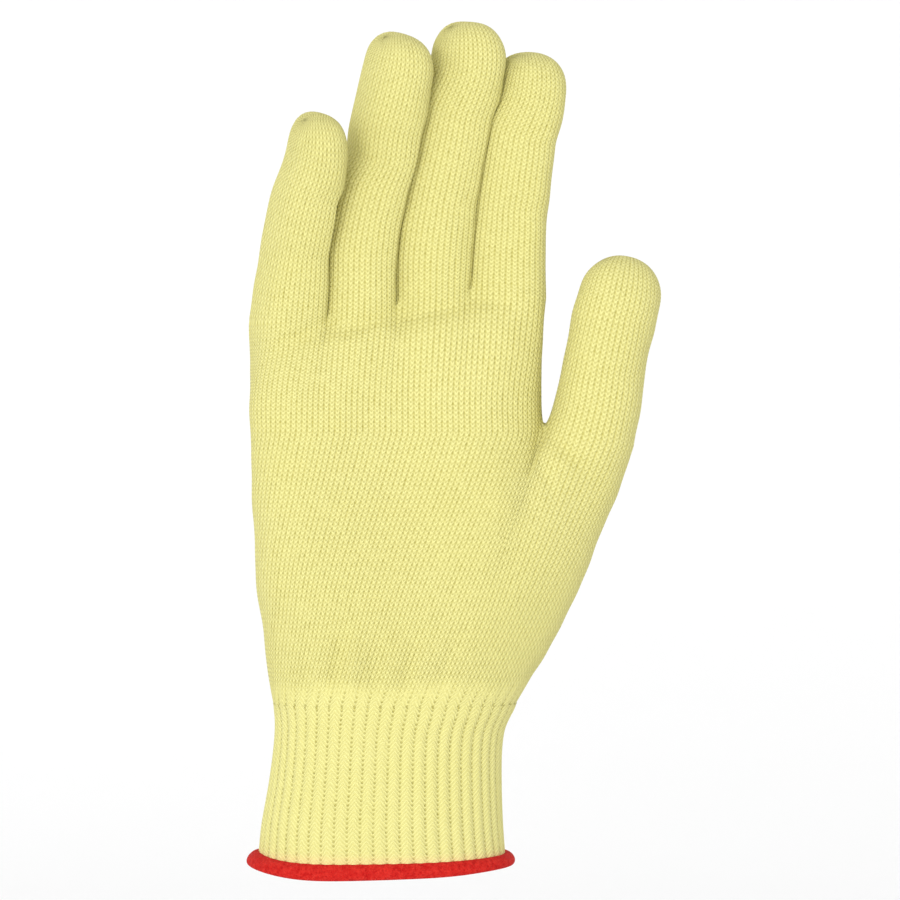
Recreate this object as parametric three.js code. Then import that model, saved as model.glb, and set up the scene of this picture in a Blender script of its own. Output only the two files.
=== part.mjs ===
// A seamless knitted work glove for the right hand, in the filled form that it has when worn.
// Millimetres. The palm faces -Y, the thumb points to +X, the fingers point to +Z.
// The origin is the centre of the cuff opening, at the lower edge of the hem.
import * as THREE from "three";

// Widths and depths
const palmWidth = 77; // little finger side to index finger side
const palmDepth = 28; // palm to back, under the knuckles
const cuffWidth = 61; // ribbed cuff at its narrowest
const cuffDepth = 41;
const fingerDepth = 20; // front to back of the middle finger at the webs
const thumbWidth = 20;
const thumbDepth = 23; // front to back at the thumb crotch

// Heights and lengths
const hemHeight = 4.2;
const hemTilt = 0.6; // the knit edge rises this much from the middle to the thumb side
const hemLift = 1.7; // and turns up again this much at the little finger side
const hemTurn = 6; // power of that turn: a higher one keeps it nearer the side
const cuffLength = 40;
const bodyLength = 70.5; // end of the ribs to the thumb crotch
const palmLength = 33; // thumb crotch to the middle of the finger webs
const fingerLengths = { little: 48, ring: 69.3, middle: 73.2, index: 65.6 }; // above the finger webs
const thumbLength = 46; // above the thumb crotch
const thumbSpread = 19.2; // thumb's middle line beyond the index finger side, at mid length
const thumbReach = 9; // how far the thumb tip comes forward

// Cloth and clearances
const wall = 1.2; // thickness of the knit
const rimHeight = 1; // plain band at the foot of the hand, below its mounds and folds
const ribHeight = 0.8; // crest to valley of the cuff's ribs
const ribCount = 50; // ribs round the cuff
const hemThickness = 2.8;
const hemFlare = 50; // degrees that the hem turns out at the two sides
const fingerGap = 0.35; // air between two neighbouring fingers
const fingerTwist = 0.3; // slope of the faces where neighbouring fingers meet, front to the right
const seamGap = 0.3; // air between cuff, hem and hand

// How far the lowest point of the knit edge dips, where its lift and tilt leave it lowest.
const hemDip = (1 - 1 / hemTurn) * hemTilt * (hemTilt / (hemTurn * hemLift)) ** (1 / (hemTurn - 1));
const cuffFoot = hemHeight + hemDip + seamGap;
const handFoot = cuffFoot + cuffLength + seamGap;
const thumbCrotch = handFoot + bodyLength;
const webHeight = thumbCrotch + palmLength;
const handLength = bodyLength + palmLength;
const longestFinger = Math.max(...Object.values(fingerLengths));

// Columns of the shell round each digit, with a quarter of them on each side joined at a web
const digitColumns = 16;
const webSpan = digitColumns / 8;
const bodyRows = 12;
const palmRows = 7;
const digitRows = 11;

// Lower half of the hand, from the ribs to the thumb crotch. up: share of body length.
// left, right: shares of palm width. front, back: shares of palm depth.
const bodySections = [
  { up: 0, left: -0.371, right: 0.459, front: 0.7, back: 0.7 },
  { up: 0.08, left: -0.385, right: 0.503, front: 0.68, back: 0.66 },
  { up: 0.16, left: -0.395, right: 0.548, front: 0.65, back: 0.62 },
  { up: 0.3, left: -0.412, right: 0.619, front: 0.61, back: 0.57 },
  { up: 0.45, left: -0.427, right: 0.681, front: 0.58, back: 0.54 },
  { up: 0.62, left: -0.434, right: 0.745, front: 0.56, back: 0.52 },
  { up: 0.8, left: -0.438, right: 0.81, front: 0.53, back: 0.51 },
  { up: 1, left: -0.446, right: 0.868, front: 0.5, back: 0.5 },
];

// Palm under the four fingers. up: share of palm length.
const palmSections = [
  { up: 0, left: -0.446, right: 0.552, front: 0.5, back: 0.5 },
  { up: 0.3, left: -0.451, right: 0.546, front: 0.48, back: 0.5 },
  { up: 0.6, left: -0.452, right: 0.549, front: 0.45, back: 0.49 },
  { up: 1, left: -0.449, right: 0.553, front: 0.4, back: 0.43 },
];

// The five lines that bound the four fingers, seen from the front, before their tips round off.
// up: share of the longest finger. The lines: shares of palm width, from the little finger's
// outer side to the index finger's outer side.
const fingerLines = [
  { up: -0.05, lines: [-0.449, -0.186, 0.054, 0.299, 0.554] },
  { up: 0.06, lines: [-0.436, -0.181, 0.05, 0.302, 0.553] },
  { up: 0.22, lines: [-0.406, -0.175, 0.054, 0.31, 0.552] },
  { up: 0.37, lines: [-0.372, -0.149, 0.078, 0.322, 0.563] },
  { up: 0.51, lines: [-0.321, -0.114, 0.115, 0.343, 0.576] },
  { up: 0.6, lines: [-0.3, -0.106, 0.134, 0.362, 0.592] },
  { up: 0.68, lines: [-0.292, -0.091, 0.147, 0.377, 0.617] },
  { up: 0.78, lines: [-0.285, -0.067, 0.164, 0.405, 0.63] },
  { up: 0.88, lines: [-0.28, -0.046, 0.176, 0.414, 0.634] },
  { up: 1, lines: [-0.275, -0.026, 0.184, 0.418, 0.638] },
];

// Each finger. line: its left bounding line. webLeft, webRight: web heights, as shares of the
// longest finger. forward: middle line's offset at the web, curl: how far the tip comes to the
// front, both shares of finger depth. depth: share of finger depth.
const fingers = [
  { name: "little", line: 0, webLeft: -0.07, webRight: -0.045, forward: 0.08, curl: 1.15, depth: 0.9 },
  { name: "ring", line: 1, webLeft: -0.045, webRight: 0, forward: 0, curl: 0.95, depth: 0.98 },
  { name: "middle", line: 2, webLeft: 0, webRight: 0.06, forward: -0.04, curl: 0.75, depth: 1 },
  { name: "index", line: 3, webLeft: 0.06, webRight: 0.03, forward: -0.03, curl: 0.6, depth: 1 },
];

// Thumb. up: share of thumb length. centre: middle line, share of thumb spread. width: share
// of thumb width.
const thumbSections = [
  { up: 0, centre: 0.625, width: 1.09 },
  { up: 0.18, centre: 0.729, width: 1.03 },
  { up: 0.41, centre: 0.826, width: 1 },
  { up: 0.635, centre: 0.942, width: 1.01 },
  { up: 0.8, centre: 1.04, width: 0.98 },
  { up: 1, centre: 1.13, width: 0.95 },
];

// Joint creases on the front of a finger: up is a share of its length, depth a share of its own.
const creases = [
  { up: 0.36, spread: 0.05, depth: 0.07 },
  { up: 0.67, spread: 0.045, depth: 0.06 },
];

// Soft forms of the palm side. across, wide: shares of palm width. up, long: shares of hand
// length. turn: degrees, top to the right. rise: share of palm depth, below zero for a dent.
const forms = [
  { name: "hollow of the palm", across: 0.05, up: 0.6, long: 0.29, wide: 0.19, turn: -8, rise: -0.13 },
  { name: "mound under the little finger", across: -0.31, up: 0.4, long: 0.26, wide: 0.12, turn: 0, rise: 0.08 },
  { name: "mound of the thumb", across: 0.45, up: 0.42, long: 0.25, wide: 0.19, turn: 24, rise: 0.15 },
  { name: "pad under the index finger", across: 0.43, up: 0.95, long: 0.08, wide: 0.1, turn: 0, rise: 0.05 },
  { name: "pad under the middle finger", across: 0.18, up: 0.93, long: 0.08, wide: 0.1, turn: 0, rise: 0.05 },
  { name: "pad under the ring finger", across: -0.07, up: 0.91, long: 0.08, wide: 0.1, turn: 0, rise: 0.05 },
  { name: "pad under the little finger", across: -0.31, up: 0.88, long: 0.08, wide: 0.1, turn: 0, rise: 0.04 },
  { name: "crease under the thumb crotch", across: 0.63, up: 0.62, long: 0.1, wide: 0.04, turn: -45, rise: -0.07 },
  { name: "left gather over the cuff", across: -0.13, up: 0.13, long: 0.14, wide: 0.05, turn: 16, rise: -0.06 },
  { name: "middle gather over the cuff", across: 0, up: 0.1, long: 0.12, wide: 0.05, turn: 0, rise: 0.05 },
  { name: "right gather over the cuff", across: 0.13, up: 0.12, long: 0.14, wide: 0.05, turn: -18, rise: -0.05 },
  { name: "fold along the outer edge", across: -0.39, up: 0.28, long: 0.22, wide: 0.035, turn: -2, rise: 0.05 },
];

const radians = Math.PI / 180;
const xAxis = new THREE.Vector3(1, 0, 0);

// A value from a table of rows sorted by their up value, on a smooth curve through the rows.
function along(rows, up, read) {
  let i = rows.findIndex((row) => row.up >= up);
  if (i < 0) i = rows.length - 1;
  i = Math.max(i, 1);
  const slope = (k) => {
    const before = rows[Math.max(k - 1, 0)];
    const after = rows[Math.min(k + 1, rows.length - 1)];
    return (read(after) - read(before)) / (after.up - before.up);
  };
  const [a, b] = [rows[i - 1], rows[i]];
  const span = b.up - a.up;
  const s = Math.min(Math.max((up - a.up) / span, 0), 1);
  const cubic = s * s * (3 - 2 * s);
  const lead = slope(i - 1) * s * (1 - s) * (1 - s);
  const tail = slope(i) * s * s * (s - 1);
  return read(a) + (read(b) - read(a)) * cubic + span * (lead + tail);
}

const smooth = (t) => {
  const s = Math.min(Math.max(t, 0), 1);
  return s * s * (3 - 2 * s);
};

// Round outline in unit form: column 0 at the left, then the front, the right and the back.
function unitOutline(columns, squareness) {
  return Array.from({ length: columns }, (_, i) => {
    const angle = (2 * Math.PI * i) / columns;
    const power = 2 / squareness;
    const side = Math.sign(Math.cos(angle)) * Math.abs(Math.cos(angle)) ** power;
    const depth = Math.sign(Math.sin(angle)) * Math.abs(Math.sin(angle)) ** power;
    return [-side, -depth];
  });
}

// Level outline through left, right, front and back, with its columns evenly spaced.
function levelRing(columns, section, z, squareness) {
  const fine = 64;
  const halfWidth = (section.right - section.left) / 2;
  const middle = (section.right + section.left) / 2;
  const place = ([side, depth]) => {
    const reach = depth < 0 ? section.front : section.back;
    return new THREE.Vector3(middle + halfWidth * side, reach * depth, z);
  };
  const dense = unitOutline(2 * fine, squareness).map(place);
  dense.push(dense[0]);
  const ring = [];
  for (const start of [0, fine]) {
    const half = dense.slice(start, start + fine + 1);
    const reach = [0];
    for (let i = 1; i <= fine; i++) reach.push(reach[i - 1] + half[i].distanceTo(half[i - 1]));
    for (let i = 0; i < columns / 2; i++) {
      const goal = (reach[fine] * i) / (columns / 2);
      const k = Math.max(reach.findIndex((length) => length > goal), 1);
      const share = (goal - reach[k - 1]) / (reach[k] - reach[k - 1]);
      ring.push(half[k - 1].clone().lerp(half[k], share));
    }
  }
  return ring;
}

function sectionAt(rows, up) {
  return {
    left: palmWidth * along(rows, up, (row) => row.left),
    right: palmWidth * along(rows, up, (row) => row.right),
    front: palmDepth * along(rows, up, (row) => row.front),
    back: palmDepth * along(rows, up, (row) => row.back),
  };
}

// Rows of a digit from its web to its tip. spine(s) gives the middle line, the width and the
// depth at share s of the length, and slant the height of the web's right side over its left.
function digitRings(spine, length, slant) {
  const outline = unitOutline(digitColumns, 2.25);
  const tipRound = spine(1).width * 0.58;
  const tipStart = 1 - tipRound / length;
  const rings = [];
  for (let row = 0; row <= digitRows; row++) {
    const tipRow = digitRows * 0.64;
    const inTip = Math.max((row - tipRow) / (digitRows - tipRow), 0);
    const roundTurn = Math.sin(inTip * Math.PI * 0.47);
    const share = row < tipRow ? (tipStart * row) / tipRow : tipStart + (1 - tipStart) * roundTurn;
    const here = spine(share);
    const ahead = spine(Math.min(share + 0.01, 1)).centre;
    const behind = spine(Math.max(share - 0.01, 0)).centre;
    const axis = ahead.clone().sub(behind).normalize();
    const across = xAxis.clone().addScaledVector(axis, -axis.x).normalize();
    const through = axis.clone().cross(across);
    const tight = (1 - roundTurn ** 2.5) ** 0.42;
    const flat = Math.sqrt(1 - roundTurn ** 2);
    const lean = slant * (1 - smooth(share * 2.2));
    rings.push(
      outline.map(([side, depth]) => {
        const crease = creases.reduce(
          (sum, c) => sum + c.depth * Math.exp(-(((share - c.up) / c.spread) ** 2)),
          0,
        );
        const reach = (here.depth / 2) * flat * (depth < 0 ? 1 - crease : 1);
        return here.centre
          .clone()
          .addScaledVector(across, (here.width / 2) * across.x * side * tight)
          .addScaledVector(across, -fingerTwist * reach * depth)
          .addScaledVector(through, reach * depth)
          .addScaledVector(axis, (lean * side) / 2);
      }),
    );
  }
  return rings;
}

function fingerSpine(finger) {
  const length = fingerLengths[finger.name];
  const foot = (longestFinger * (finger.webLeft + finger.webRight)) / 2;
  return (share) => {
    const rise = foot + (length - foot) * share;
    const up = rise / longestFinger;
    const left = palmWidth * along(fingerLines, up, (row) => row.lines[finger.line]);
    const right = palmWidth * along(fingerLines, up, (row) => row.lines[finger.line + 1]);
    const forward = -fingerDepth * (finger.forward + finger.curl * share ** 1.7);
    return {
      centre: new THREE.Vector3((left + right) / 2, forward, webHeight + rise),
      width: right - left - fingerGap,
      depth: fingerDepth * finger.depth * (1 - 0.2 * share),
    };
  };
}

function thumbSpine(share) {
  const centre = thumbSpread * along(thumbSections, share, (row) => row.centre);
  const side = palmWidth * palmSections[0].right;
  return {
    centre: new THREE.Vector3(
      side + centre,
      -thumbReach * (0.35 + 0.65 * share),
      thumbCrotch + thumbLength * share,
    ),
    width: thumbWidth * along(thumbSections, share, (row) => row.width),
    depth: thumbDepth * (1 - 0.24 * share),
  };
}

// The outer face of the hand as one net of quads, in rows and columns like the knit itself.
// Its patches are the palm and back with the foot of each digit, and the digits themselves.
function handNet() {
  const points = [];
  const hand = { name: "hand_knit", quads: [], feet: [], sockets: [] };
  const patches = [hand];
  const seams = []; // pairs of points that face each other over a seam
  const add = (point) => points.push(point) - 1;
  const join = (lower, upper, quads = hand.quads) => {
    for (let i = 0; i < lower.length; i++) {
      const next = (i + 1) % lower.length;
      quads.push([lower[i], lower[next], upper[next], upper[i]]);
    }
  };
  const half = digitColumns / 2;
  const around = (column) => (column + digitColumns) % digitColumns;

  // Joins the right side of one ring to the left side of the next over the width of a web.
  const weld = (ring, right, nextRing) => {
    for (let k = -webSpan; k <= webSpan; k++) {
      const [a, b] = [ring[right + k], nextRing[around(-k)]];
      points[a].lerp(points[b], 0.5);
      nextRing[around(-k)] = a;
    }
  };

  // Builds a digit over its first ring. The first row belongs to the hand. The rows above start
  // one seam gap higher, and the tip closes from front to back.
  const raise = (name, rings, foot) => {
    const socket = rings[1].map(add);
    join(foot, socket);
    hand.sockets.push(socket);
    const start = rings[1].map((point, i) => {
      const step = rings[2][i].clone().sub(point).setLength(seamGap);
      return add(step.add(point));
    });
    start.forEach((point, i) => seams.push([socket[i], point]));
    const quads = [];
    let lower = start;
    for (const ring of rings.slice(2)) {
      const upper = ring.map(add);
      join(lower, upper, quads);
      lower = upper;
    }
    for (let k = 1; k < half; k++) {
      const [a, b] = [lower[k], lower[digitColumns - k]];
      if (k === 1) quads.push([lower[0], a, b]);
      if (k === half - 1) quads.push([a, lower[half], b]);
      else quads.push([a, lower[k + 1], lower[digitColumns - k - 1], b]);
    }
    patches.push({ name: `${name}_knit`, quads, feet: [start], sockets: [] });
  };

  // Rows between a level ring and a lobed ring above it, which eases into the level ones.
  const rise = (low, high, count, ringAt, ease) => {
    const rows = [low];
    for (let row = 1; row < count; row++) {
      const level = ringAt(row / count);
      const top = ringAt(1);
      rows.push(
        level.map((point, i) => {
          const offset = points[high[i]].clone().sub(top[i]);
          return add(point.clone().addScaledVector(offset, ease(row / count)));
        }),
      );
    }
    rows.push(high);
    for (let row = 1; row < rows.length; row++) join(rows[row - 1], rows[row]);
  };

  const digits = fingers.map((finger) => {
    const slant = longestFinger * (finger.webRight - finger.webLeft);
    const rings = digitRings(fingerSpine(finger), fingerLengths[finger.name], slant);
    return { name: finger.name, rings, foot: rings[0].map(add) };
  });
  for (let i = 1; i < digits.length; i++) weld(digits[i - 1].foot, half, digits[i].foot);
  digits.forEach(({ name, rings, foot }) => raise(name, rings, foot));

  // Upper ring of the palm: the fronts of the four fingers, then their backs.
  const last = digits.length - 1;
  const palmTop = [];
  digits.forEach(({ foot }, i) => {
    const from = i === 0 ? 0 : webSpan + 1;
    const to = i === last ? half : half - webSpan;
    palmTop.push(...foot.slice(from, to + 1));
  });
  for (let i = last; i >= 0; i--) {
    const from = i === last ? half + 1 : half + webSpan + 1;
    const to = i === 0 ? digitColumns - 1 : digitColumns - webSpan;
    palmTop.push(...digits[i].foot.slice(from, to + 1));
  }

  const palmColumns = palmTop.length;
  const palmRing = (share) => {
    const z = thumbCrotch + palmLength * share;
    return levelRing(palmColumns, sectionAt(palmSections, share), z, 2.5);
  };
  const thumbRings = digitRings(thumbSpine, thumbLength, -thumbWidth * 0.05);
  const thumbFoot = thumbRings[0].map(add);
  const palmFoot = palmRing(0).map(add);
  weld(palmFoot, palmColumns / 2, thumbFoot);
  raise("thumb", thumbRings, thumbFoot);
  rise(palmFoot, palmTop, palmRows, palmRing, (share) => smooth((share - 0.25) / 0.75));

  // Upper ring of the body: the palm, with the thumb let into its right side.
  const bodyTop = [
    ...palmFoot.slice(0, palmColumns / 2 - webSpan + 1),
    ...thumbFoot.slice(webSpan + 1, digitColumns - webSpan),
    ...palmFoot.slice(palmColumns / 2 + webSpan),
  ];
  const bodyRing = (share) => {
    const z = handFoot + bodyLength * share;
    return levelRing(bodyTop.length, sectionAt(bodySections, share), z, 2.4);
  };
  const bodyFoot = bodyRing(0).map(add);
  rise(bodyFoot, bodyTop, bodyRows, bodyRing, (share) => smooth((share - 0.3) / 0.7));
  hand.feet.push(bodyFoot);
  return { points, patches, seams };
}

// Normals of a net's points, from the quads that meet at each. The two points of a seam share one.
function netNormals({ points, patches, seams }) {
  const quads = patches.flatMap((patch) => patch.quads);
  const normals = points.map(() => new THREE.Vector3());
  for (const quad of quads) {
    const [a, b, c] = quad.map((i) => points[i]);
    const d = points[quad[quad.length - 1]];
    const normal = c.clone().sub(a).cross(d.clone().sub(b));
    if (quad.length === 3) normal.copy(b).sub(a).cross(c.clone().sub(a));
    quad.forEach((i) => normals[i].add(normal));
  }
  for (const [a, b] of seams) {
    normals[a].add(normals[b]);
    normals[b].copy(normals[a]);
  }
  return normals.map((normal) => normal.normalize());
}

// Height of the mounds, hollows and folds over one point of the palm side.
function formHeight(point) {
  return forms.reduce((sum, form) => {
    const x = point.x - form.across * palmWidth;
    const z = point.z - handFoot - form.up * handLength;
    const [c, s] = [Math.cos(form.turn * radians), Math.sin(form.turn * radians)];
    const acrossForm = (x * c - z * s) / (form.wide * palmWidth);
    const alongForm = (x * s + z * c) / (form.long * handLength);
    return sum + form.rise * palmDepth * Math.exp(-(acrossForm ** 2) - alongForm ** 2);
  }, 0);
}

// A closed wall between a patch of the net and the same patch set inwards. A rim closes it at
// each ring where the patch ends: the feet, with the knit above, and the sockets, with it below.
function shell(points, normals, { quads, feet, sockets }) {
  const count = points.length;
  const inner = points.map((point, i) => point.clone().addScaledVector(normals[i], -wall));
  const faces = [...quads, ...quads.map((quad) => quad.map((i) => i + count).reverse())];
  const rim = (ring, above) =>
    ring.forEach((a, i) => {
      const b = ring[(i + 1) % ring.length];
      const face = [b, a, a + count, b + count];
      faces.push(above ? face : face.reverse());
    });
  feet.forEach((ring) => rim(ring, true));
  sockets.forEach((ring) => rim(ring, false));
  return solid([...points, ...inner], faces);
}

// A geometry from faces of three or four corners, with only the points that they use.
function solid(points, faces) {
  const geometry = new THREE.BufferGeometry();
  const used = [...new Set(faces.flat())];
  const place = new Map(used.map((point, i) => [point, i]));
  const triangles = faces.flatMap(([a, b, c, d]) => (d === undefined ? [a, b, c] : [a, b, c, a, c, d]));
  geometry.setAttribute(
    "position",
    new THREE.Float32BufferAttribute(used.flatMap((i) => points[i].toArray()), 3),
  );
  geometry.setIndex(triangles.map((i) => place.get(i)));
  geometry.computeVertexNormals();
  return geometry;
}

function knitPieces() {
  const net = handNet();
  const flat = netNormals(net);
  const rim = handFoot + rimHeight;
  net.points.forEach((point, i) => {
    const facing = smooth(-flat[i].y * 1.4);
    const fade = smooth((point.z - rim) / (0.1 * bodyLength));
    point.y -= formHeight(point) * facing * fade;
  });
  const normals = netNormals(net);
  return net.patches.map((patch) => named(patch.name, shell(net.points, normals, patch), knitYellow));
}

// Half width and half depth of the cuff, and its middle line, at a share of its length.
const cuffSections = [
  { up: 0, width: 1.06, shift: 0 },
  { up: 0.22, width: 1.036, shift: 0.002 },
  { up: 0.49, width: 1, shift: 0.012 },
  { up: 0.72, width: 0.984, shift: 0.021 },
  { up: 0.88, width: 0.998, shift: 0.031 },
  { up: 1, width: 1.03, shift: 0.042 },
];

// A ring of the cuff. grow widens it, and edge, from 0 to 1, gives it the lift and tilt of the hem.
function cuffRing(columns, share, grow, edge) {
  const halfWidth = (cuffWidth / 2) * along(cuffSections, share, (row) => row.width) + grow;
  const halfDepth = (cuffDepth / 2) * along(cuffSections, share, (row) => row.width) + grow;
  const shift = palmWidth * along(cuffSections, share, (row) => row.shift);
  const section = { left: shift - halfWidth, right: shift + halfWidth, front: halfDepth, back: halfDepth };
  const z = cuffFoot + cuffLength * share;
  return levelRing(columns, section, z, 2.3).map((point) => {
    const side = (point.x - shift) / halfWidth;
    point.z += edge * (hemLift * Math.max(-side, 0) ** hemTurn + hemTilt * side);
    return point;
  });
}

function wristKnit() {
  const perRib = 4;
  const columns = ribCount * perRib;
  const rows = [0, 0.3, 0.75, 1];
  const points = [];
  const faces = [];
  const rings = (inward) =>
    rows.map((share) => {
      const edge = 1 - smooth(share * 3);
      const ribs = ribHeight * (1 - 0.6 * smooth((share - 0.85) / 0.15));
      return cuffRing(columns, share, -inward, edge).map((point, i) => {
        const away = new THREE.Vector3(point.x / cuffWidth, point.y / cuffDepth, 0).normalize();
        const dip = (ribs * (1 - Math.cos((2 * Math.PI * i) / perRib))) / 2;
        return points.push(inward ? point : point.addScaledVector(away, -dip)) - 1;
      });
    });
  const outer = rings(0);
  const inner = rings(wall + ribHeight);
  for (let row = 1; row < rows.length; row++) {
    for (let i = 0; i < columns; i++) {
      const next = (i + 1) % columns;
      faces.push([outer[row - 1][i], outer[row - 1][next], outer[row][next], outer[row][i]]);
      faces.push([inner[row - 1][next], inner[row - 1][i], inner[row][i], inner[row][next]]);
    }
  }
  const top = rows.length - 1;
  for (let i = 0; i < columns; i++) {
    const next = (i + 1) % columns;
    faces.push([outer[0][next], outer[0][i], inner[0][i], inner[0][next]]);
    faces.push([outer[top][i], outer[top][next], inner[top][next], inner[top][i]]);
  }
  return solid(points, faces);
}

// The overlocked edge: a round band that hangs from the knit edge and turns out at the sides.
function hemOverlock() {
  const columns = 72;
  const around = 8;
  const points = [];
  const faces = [];
  const start = cuffRing(columns, 0, -wall / 2, 1);
  const rings = start.map((point) => {
    const away = new THREE.Vector3(point.x / cuffWidth, point.y / cuffDepth, 0);
    const sideways = smooth((Math.abs(away.x) / away.length() - 0.35) / 0.6);
    away.normalize();
    const flare = hemFlare * radians * (0.3 + 0.7 * sideways);
    const down = new THREE.Vector3(0, 0, -Math.cos(flare)).addScaledVector(away, Math.sin(flare));
    const out = away.clone().multiplyScalar(Math.cos(flare));
    out.z = Math.sin(flare);
    const clearOfKnit = seamGap + (wall / 2) * Math.tan(flare);
    const ring = [];
    for (let k = 0; k < around; k++) {
      const angle = (2 * Math.PI * (k + 0.5)) / around;
      const roundness = 0.5 / Math.cos(Math.PI / around);
      const drop = (hemHeight - seamGap) * (0.5 + roundness * Math.sin(angle));
      const place = point.clone().addScaledVector(down, drop);
      place.addScaledVector(out, hemThickness * roundness * Math.cos(angle));
      place.z -= clearOfKnit;
      ring.push(points.push(place) - 1);
    }
    return ring;
  });
  rings.forEach((ring, i) => {
    const following = rings[(i + 1) % columns];
    ring.forEach((a, k) => {
      const next = (k + 1) % around;
      faces.push([a, ring[next], following[next], following[k]]);
    });
  });
  return solid(points, faces);
}

const knitYellow = new THREE.MeshStandardMaterial({ color: 0xece695, roughness: 0.85, metalness: 0 });
const ribYellow = new THREE.MeshStandardMaterial({ color: 0xece798, roughness: 0.85, metalness: 0 });
const hemRed = new THREE.MeshStandardMaterial({ color: 0xd72d26, roughness: 0.9, metalness: 0 });

function named(name, geometry, material) {
  const mesh = new THREE.Mesh(geometry, material);
  mesh.name = name;
  return mesh;
}

const glove = new THREE.Group();
glove.add(...knitPieces());
glove.add(named("wrist_knit", wristKnit(), ribYellow));
glove.add(named("hem_overlock", hemOverlock(), hemRed));

export default glove;
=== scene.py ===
# %% [markdown]
# # A knitted aramid glove
# The glove stands as it does when a hand fills it, with the palm to the camera and the thumb on
# the right. The frame holds its solids in metres: plain shells for the hand and each digit, a
# ribbed cuff and a round hem. Here they get their cloth: stitches in rows and columns, an
# elastic rib and a wound red edge.

# %% Load the frame
import math

import bpy
import numpy as np
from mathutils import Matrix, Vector


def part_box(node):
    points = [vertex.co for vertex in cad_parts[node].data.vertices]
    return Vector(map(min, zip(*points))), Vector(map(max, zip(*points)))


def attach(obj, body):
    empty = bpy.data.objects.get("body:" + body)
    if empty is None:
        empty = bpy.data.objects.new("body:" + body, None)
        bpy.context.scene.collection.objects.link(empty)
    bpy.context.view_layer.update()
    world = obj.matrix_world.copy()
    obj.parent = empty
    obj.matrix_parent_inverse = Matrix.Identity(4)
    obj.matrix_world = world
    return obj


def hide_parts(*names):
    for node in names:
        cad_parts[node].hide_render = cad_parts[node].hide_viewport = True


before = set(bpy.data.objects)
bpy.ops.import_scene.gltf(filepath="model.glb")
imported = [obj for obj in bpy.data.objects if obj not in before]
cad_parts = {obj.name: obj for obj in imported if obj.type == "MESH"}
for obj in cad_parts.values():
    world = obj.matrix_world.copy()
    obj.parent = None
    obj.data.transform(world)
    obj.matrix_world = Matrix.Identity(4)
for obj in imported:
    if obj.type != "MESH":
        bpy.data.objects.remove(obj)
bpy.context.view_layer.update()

hand_low, hand_high = (np.array(corner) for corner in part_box("hand_knit"))
cuff_low, cuff_high = (np.array(corner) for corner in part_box("wrist_knit"))
hem_low, hem_high = (np.array(corner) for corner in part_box("hem_overlock"))
print("hand from", hand_low.round(4), "to", hand_high.round(4))
print("cuff from", cuff_low.round(4), "to", cuff_high.round(4))
print("hem from", hem_low.round(4), "to", hem_high.round(4))

# %% [markdown]
# ## Sizes
# A knitted glove is made of wales, the columns of stitches that run from cuff to fingertip, and
# courses, the rows across them. The hand below is a net with two mesh columns to a wale and a
# mesh row to a course, so the mesh can be ribbed as the cloth is. The other way, a smooth shell
# with a printed pattern, loses the wales at the outline. The sizes are those of the solids. The
# tables hold shares of them, and bring the edges of the fingers a little closer to the real
# glove's than the solids do.

# %% Sizes of the glove
MM = 0.001
palm_width = 77 * MM
palm_depth = 28 * MM
cuff_width = 61 * MM
cuff_depth = 41 * MM
finger_depth = 20 * MM
thumb_width = 20 * MM
thumb_depth = 23 * MM
body_length = 70.5 * MM
palm_length = 33 * MM
finger_lengths = {"little": 48 * MM, "ring": 69.3 * MM, "middle": 73.2 * MM, "index": 65.6 * MM}
thumb_length = 46 * MM
thumb_spread = 19.2 * MM
thumb_reach = 9 * MM
wall = 1.2 * MM
course_height = 1.15 * MM
cuff_length = 40 * MM
cuff_gap = 0.3 * MM

hand_foot = hand_low[2]
cuff_foot = hand_foot - cuff_gap - cuff_length
thumb_crotch = hand_foot + body_length
web_height = thumb_crotch + palm_length
hand_length = body_length + palm_length
longest_finger = max(finger_lengths.values())
print("webs at", round(web_height / MM, 1), "mm, thumb crotch at", round(thumb_crotch / MM, 1))

# %% Sections of the hand, as shares of the sizes above
# up, left, right, front, back
body_sections = np.array([
    (0.00, -0.371, 0.459, 0.70, 0.70),
    (0.08, -0.385, 0.503, 0.68, 0.66),
    (0.16, -0.395, 0.548, 0.65, 0.62),
    (0.30, -0.412, 0.619, 0.61, 0.57),
    (0.45, -0.427, 0.681, 0.58, 0.54),
    (0.62, -0.434, 0.745, 0.56, 0.52),
    (0.80, -0.438, 0.810, 0.53, 0.51),
    (1.00, -0.446, 0.868, 0.50, 0.50),
])
palm_sections = np.array([
    (0.0, -0.446, 0.552, 0.50, 0.50),
    (0.3, -0.451, 0.546, 0.48, 0.50),
    (0.6, -0.452, 0.549, 0.45, 0.49),
    (1.0, -0.449, 0.553, 0.40, 0.43),
])
# up, then the five lines that bound the four fingers
finger_lines = np.array([
    (-0.05, -0.445, -0.186, 0.054, 0.299, 0.550),
    (0.06, -0.430, -0.181, 0.050, 0.300, 0.544),
    (0.22, -0.398, -0.175, 0.054, 0.310, 0.542),
    (0.37, -0.363, -0.149, 0.078, 0.325, 0.552),
    (0.51, -0.313, -0.117, 0.110, 0.345, 0.566),
    (0.60, -0.293, -0.107, 0.130, 0.360, 0.581),
    (0.68, -0.286, -0.092, 0.145, 0.374, 0.602),
    (0.78, -0.280, -0.064, 0.162, 0.392, 0.616),
    (0.88, -0.276, -0.036, 0.176, 0.410, 0.626),
    (1.00, -0.272, -0.008, 0.186, 0.420, 0.632),
])
# up, centre, width
thumb_sections = np.array([
    (0.000, 0.625, 1.09),
    (0.180, 0.729, 1.03),
    (0.410, 0.826, 1.00),
    (0.635, 0.942, 1.01),
    (0.800, 1.040, 0.98),
    (1.000, 1.130, 0.95),
])
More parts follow.
